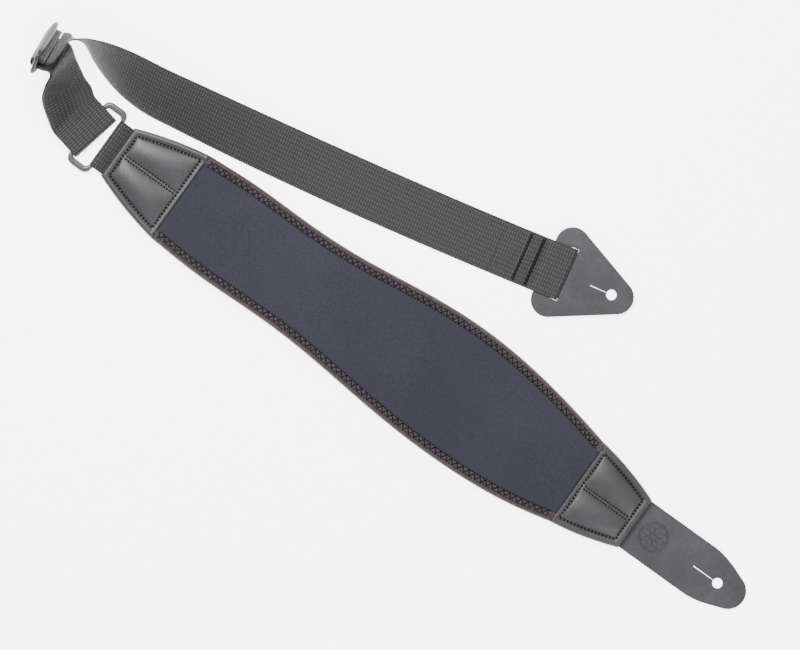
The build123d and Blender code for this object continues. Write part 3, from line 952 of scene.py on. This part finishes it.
def rosette():
    """A plain ring of petals standing slightly out of the leather, with a thin round border."""
    centre = Vector((-73 * MM, 0, leather_t))
    verts, faces = [], []
    sunk = 0.06 * MM

    def bead(points, width, height):
        """A low rounded ridge along a closed line."""
        base, sides = len(verts), 6
        for i, p in enumerate(points):
            before, after = points[i - 1], points[(i + 1) % len(points)]
            t = (after - before).normalized()
            side = Vector((-t.y, t.x, 0))
            for a in np.linspace(0, math.pi, sides):
                verts.append(p + side * (width / 2 * math.cos(a)) + UP * (height * math.sin(a) - sunk))
        join_rings(faces, base, len(points), sides, closed=True)

    for radius in (14.0 * MM, 12.6 * MM, 2.4 * MM):
        bead([centre + Vector((radius * math.cos(a), radius * math.sin(a), 0))
              for a in np.linspace(0, 2 * math.pi, 64, endpoint=False)], 1.1 * MM, 0.45 * MM)
    for k in range(8):
        turn = Matrix.Rotation(k * math.pi / 4, 3, "Z")
        petal = [turn @ Vector(((7.4 + 4.2 * math.cos(a)) * MM, 1.9 * math.sin(a) * MM, 0))
                 for a in np.linspace(0, 2 * math.pi, 28, endpoint=False)]
        bead([centre + p for p in petal], 1.0 * MM, 0.42 * MM)
    obj = fix_normals(make_object("end_tab_rosette", verts, faces))
    return finish_piece(obj, TAB, "end_tab", "tab_leather")


def triangle():
    """Three rounded lobes joined by straight sides, with a slot for the webbing."""
    lobe_r = 16 * MM
    lobes = [(-6 * MM, -28 * MM), (51 * MM, 0.0), (-6 * MM, 28 * MM)]
    outline = []
    for i, (cx, cy) in enumerate(lobes):
        px, py = lobes[i - 1]
        nx, ny = lobes[(i + 1) % 3]
        first = math.degrees(math.atan2(cy - py, cx - px)) - 90
        last = math.degrees(math.atan2(ny - cy, nx - cx)) - 90
        while last < first:
            last += 360
        outline += arc_points(cx, cy, lobe_r, first, last, 22)
    back, front, half = -5.2 * MM, 1.604 * MM, 25.7 * MM
    slot = [(back, -half), (front, -half), (front, half), (back, half)]
    obj = plate("triangle_tab_leather", outline, [slit_ring(45.6 * MM, 21 * MM), slot], tri_t, 0.5 * MM)
    frame_matrix = Matrix((run_dir, run_side, UP)).transposed().to_4x4()
    frame_matrix.translation = fold + UP * (web_t + tri_t / 2)
    obj.data.transform(frame_matrix)
    return finish_piece(obj, TAB, "run_end", "tab_leather", "triangle_tab")


# ---------------- hardware

def rounded(share, power):
    """A share of a circle's reach, drawn out towards a square's."""
    return math.copysign(abs(share) ** power, share)


def tube(verts, faces, points, normal, sizes, closed=True):
    """A rounded tube along points. sizes gives each point's half width in the plane and half height."""
    n = len(points)
    base, sides, power = len(verts), 16, 0.8
    for i, p in enumerate(points):
        after, before = points[(i + 1) % n], points[i - 1]
        if not closed:
            after, before = points[min(i + 1, n - 1)], points[max(i - 1, 0)]
        side = (after - before).normalized().cross(normal).normalized()
        wide, tall = sizes[i]
        for k in range(sides):
            a = 2 * math.pi * k / sides
            out, up = wide * rounded(math.cos(a), power), tall * rounded(math.sin(a), power)
            verts.append(p + side * out + normal * up)
    join_rings(faces, base, n, sides, closed)


def rounded_loop(centre, x_dir, y_dir, half_x, half_y, power_x, power_y, count):
    """A closed line between an ellipse and a rectangle."""
    points = []
    for k in range(count):
        a = 2 * math.pi * k / count
        points.append(centre + x_dir * (half_x * rounded(math.cos(a), power_x))
                      + y_dir * (half_y * rounded(math.sin(a), power_y)))
    return points


def ring():
    """A closed loop: round bars across, and wider rounded ends that swell outwards."""
    centre = (ring_near + ring_far) / 2
    low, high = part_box("ring")
    half_x = (ring_near.x - ring_far.x) / 2
    half_y = (high.y - low.y) / 2
    points = rounded_loop(centre, RIGHT, Y, half_x, half_y - 3.3 * MM, 0.34, 0.7, 120)
    sizes = []
    for p in points:
        end = smoothstep(abs(p.y), 24 * MM, 31 * MM)
        sizes.append((bar_r + 1.2 * MM * end, bar_r + 0.25 * MM * end))
    verts, faces = [], []
    tube(verts, faces, points, UP, sizes)
    obj = fix_normals(make_object("strap_ring", verts, faces))
    return finish_piece(obj, RING, "ring", "ring_metal", "ring")


def slider():
    """A moulded three-bar slide: boat-shaped outer bars, slimmer ends and a round centre bar."""
    half_long, half_short = 28.2 * MM, 11.4 * MM
    points = rounded_loop(slider_centre, long_dir, short_dir, half_long, half_short, 0.28, 0.28, 160)
    sizes = []
    for p in points:
        share = min(1.0, abs((p - slider_centre).dot(long_dir)) / half_long)
        across = abs((p - slider_centre).dot(short_dir)) / half_short
        boat = 1 - share ** 3
        on_bar = smoothstep(across, 0.85, 1.0)
        sizes.append((2.1 * MM + 0.5 * MM * boat * on_bar, 2.0 * MM + 1.5 * MM * boat * on_bar))
    verts, faces = [], []
    tube(verts, faces, points, out_dir, sizes)
    bar = [slider_centre + long_dir * (t * half_long) for t in np.linspace(-1, 1, 25)]
    tube(verts, faces, bar, out_dir, [(centre_bar_r, centre_bar_r)] * len(bar), closed=False)
    obj = fix_normals(make_object("slide_plate", verts, faces))
    return finish_piece(obj, SLIDER, "slider", "slider_plastic", "slider")


# ---------------- stitches

def stitches(name, marks, body, *nodes):
    """Short lengths of thread, each a rounded bead along its own line that dips at both ends."""
    verts, faces = [], []
    sides = 8
    shape = [(0.0, 0.25, -0.6), (0.12, 0.8, -0.05), (0.3, 1.0, 0.25), (0.5, 1.02, 0.32), (0.7, 1.0, 0.25),
             (0.88, 0.8, -0.05), (1.0, 0.25, -0.6)]
    for start, end, normal, radius in marks:
        along = (end - start)
        length = along.length
        along = along.normalized()
        side = normal.cross(along).normalized()
        base = len(verts)
        for share, size, lift in shape:
            p = start + along * (length * share) + normal * (lift * radius)
            for k in range(sides):
                a = 2 * math.pi * k / sides
                verts.append(p + (side * math.cos(a) + normal * math.sin(a)) * (radius * size))
        join_rings(faces, base, len(shape), sides)
    obj = fix_normals(make_object(name, verts, faces))
    return finish_piece(obj, THREAD, body, "thread", *nodes)


def walk(points, pitch, share):
    """Pairs of points for stitches spaced evenly along a line."""
    pts = np.array([tuple(p) for p in points], float)
    length = np.r_[0, np.cumsum(np.linalg.norm(np.diff(pts, axis=0), axis=1))]
    count = max(1, int(round(length[-1] / pitch)))
    pairs = []
    for i in range(count):
        mid = (i + 0.5) / count * length[-1]
        half = length[-1] / count * share / 2
        ends = [[np.interp(mid + d, length, pts[:, k]) for k in range(3)] for d in (-half, half)]
        pairs.append((Vector(ends[0]), Vector(ends[1])))
    return pairs


def on_cover(name, x, y):
    """The point of a cover's front face over x and y."""
    z = cover_height(name, np.array([[x]]), np.array([[y]]))[0, 0]
    return Vector((x, y, float(z)))


def cover_stitches(name):
    """The border seam and the double centre seam of a cover."""
    x0, x1 = cover_lines[name]
    way = 1 if x1 > x0 else -1
    end_x, pad_x = x0 + way * border_end, x1 - way * border_pad

    def side_y(x):
        return float(cover_half(name, np.array(x))) - border_side

    marks = []
    xs = np.linspace(end_x, pad_x, 30)
    lines = [[on_cover(name, x, sign * side_y(x)) for x in xs] for sign in (1, -1)]
    for x in (end_x, pad_x):
        lines.append([on_cover(name, x, y) for y in np.linspace(-side_y(x), side_y(x), 30)])
    for line in lines:
        for a, b in walk(line, 3.5 * MM, 0.7):
            marks.append((a + UP * 0.3 * MM, b + UP * 0.35 * MM, UP, 0.72 * MM))
    for offset in (-1.5 * MM, 1.5 * MM):
        stops = np.linspace(end_x + way * 2 * MM, pad_x - way * 2 * MM, 24)
        line = [on_cover(name, x, offset) for x in stops]
        for a, b in walk(line, 3.2 * MM, 0.66):
            marks.append((a + UP * 0.3 * MM, b + UP * 0.3 * MM, UP, 0.6 * MM))
    return stitches(f"{name}_seams", marks, "pad", f"{name}_stitching")


def edge_seam(name, sign):
    """Flat zigzag seam that joins the strip to the face."""
    marks = []
    pitch = 3.1 * MM
    xs = np.arange(strip_low.x + 3 * MM, strip_high.x - 3 * MM, pitch)
    half = pad_half(xs, sign)
    points = []
    for i, (x, h) in enumerate(zip(xs, half)):
        back = 5.0 * MM if i % 2 else 9.6 * MM
        z = face_top + (0.95 * MM if i % 2 else 0.55 * MM)
        points.append(Vector((x, sign * (h - back), z)))
    for a, b in zip(points[:-1], points[1:]):
        marks.append((a, b, UP, 0.6 * MM))
    for back, lift in ((4.6 * MM, 1.0 * MM), (10.2 * MM, 0.5 * MM)):
        line = [Vector((x, sign * (h - back), face_top + lift)) for x, h in zip(xs, half)]
        for a, b in walk(line, pitch, 0.72):
            marks.append((a, b, UP, 0.5 * MM))
    return stitches(f"edge_seam_{name}", marks, "pad", f"edge_stitching_{name}")


def hem_seam():
    """Two zigzag rows through the folded end of the webbing."""
    marks = []
    top = 2 * web_t + 0.1 * MM
    half_count, pitch, lean = 13, 1.8 * MM, 1.5 * MM
    for back in (31.4 * MM, 43.9 * MM):
        points = []
        for i in range(2 * half_count + 1):
            across = (i - half_count) * pitch
            shift = lean if i % 2 else -lean
            points.append(run_centre(1 - (back + shift) / run_length) + run_side * across + UP * top)
        for a, b in zip(points[:-1], points[1:]):
            marks.append((a, b, UP, 0.75 * MM))
    return stitches("hem_seam", marks, "run_end", "webbing_end_stitching")


# ---------------- assembly

def build():
    """Every piece of the strap, in the order of its bodies."""
    body = finish_piece(pad_body(), NEOPRENE, "pad", "neoprene_face", "pad_core", "pad_face")
    cloth = finish_piece(lining(), LINING, "pad", "lining", "pad_lining")
    for name, sign in (("upper", 1), ("lower", -1)):
        finish_piece(edge_strip(f"edge_tape_{name}", sign), STRIP, "pad", "edge_strip", f"edge_strip_{name}")
        edge_seam(name, sign)
    for name in ("ring_end", "tab_end"):
        cover(name)
        cover_back(name)
        cover_stitches(name)
    end_tab()
    rosette()
    anchor_webbing()
    double_webbing()
    single_run()
    hem()
    triangle()
    hem_seam()
    ring()
    slider()


build()


# ---------------- stage, lights and camera

def floor():
    """A pale table just under the strap."""
    mesh = bpy.data.meshes.new("floor")
    size, drop = 6.0, -0.4 * MM
    corners = ((-size, -size), (size, -size), (size, size), (-size, size))
    mesh.from_pydata([(x, y, drop) for x, y in corners], [], [(0, 1, 2, 3)])
    obj = link("floor", mesh)
    obj.data.materials.append(new_material("floor", (0.93, 0.93, 0.93), 0.9, Emission_Color=(1, 1, 1, 1),
                                           Emission_Strength=4.5)[0])


def area_light(name, place, target, size, power):
    """A soft rectangular light that faces a target."""
    light = bpy.data.lights.new(name, "AREA")
    light.shape = "RECTANGLE"
    light.size, light.size_y = size
    light.energy = power
    obj = link(name, light)
    obj.location = place
    obj.rotation_euler = (Vector(target) - Vector(place)).to_track_quat("-Z", "Y").to_euler()


view_centre = Vector((-0.3772, 0.0224, 0.0))
image_right = Vector((0.8117, 0.5840, 0))
image_up = Vector((-0.5840, 0.8117, 0))


def camera():
    """A long lens straight above the strap."""
    data = bpy.data.cameras.new("camera")
    sensor, distance, seen_width = 36, 4.6, 739.2 * MM
    data.sensor_width = sensor
    data.lens = sensor * distance / seen_width
    data.clip_end = 50
    obj = link("camera", data)
    rotation = Matrix((image_right, image_up, UP)).transposed()
    obj.matrix_world = Matrix.Translation(view_centre + UP * distance) @ rotation.to_4x4()
    bpy.context.scene.camera = obj


def world():
    """Even white light from all round."""
    w = bpy.data.worlds.new("studio")
    w.use_nodes = True
    sky = w.node_tree.nodes["Background"]
    sky.inputs["Color"].default_value = (1, 1, 1, 1)
    sky.inputs["Strength"].default_value = 1.15
    bpy.context.scene.world = w


floor()
world()
camera()
area_light("key", view_centre + image_up * 1.1 - image_right * 0.5 + UP * 1.7, view_centre, (1.2, 0.8), 62)
area_light("fill", view_centre - image_up * 1.5 + image_right * 0.6 + UP * 1.5, view_centre, (1.6, 1.2), 20)
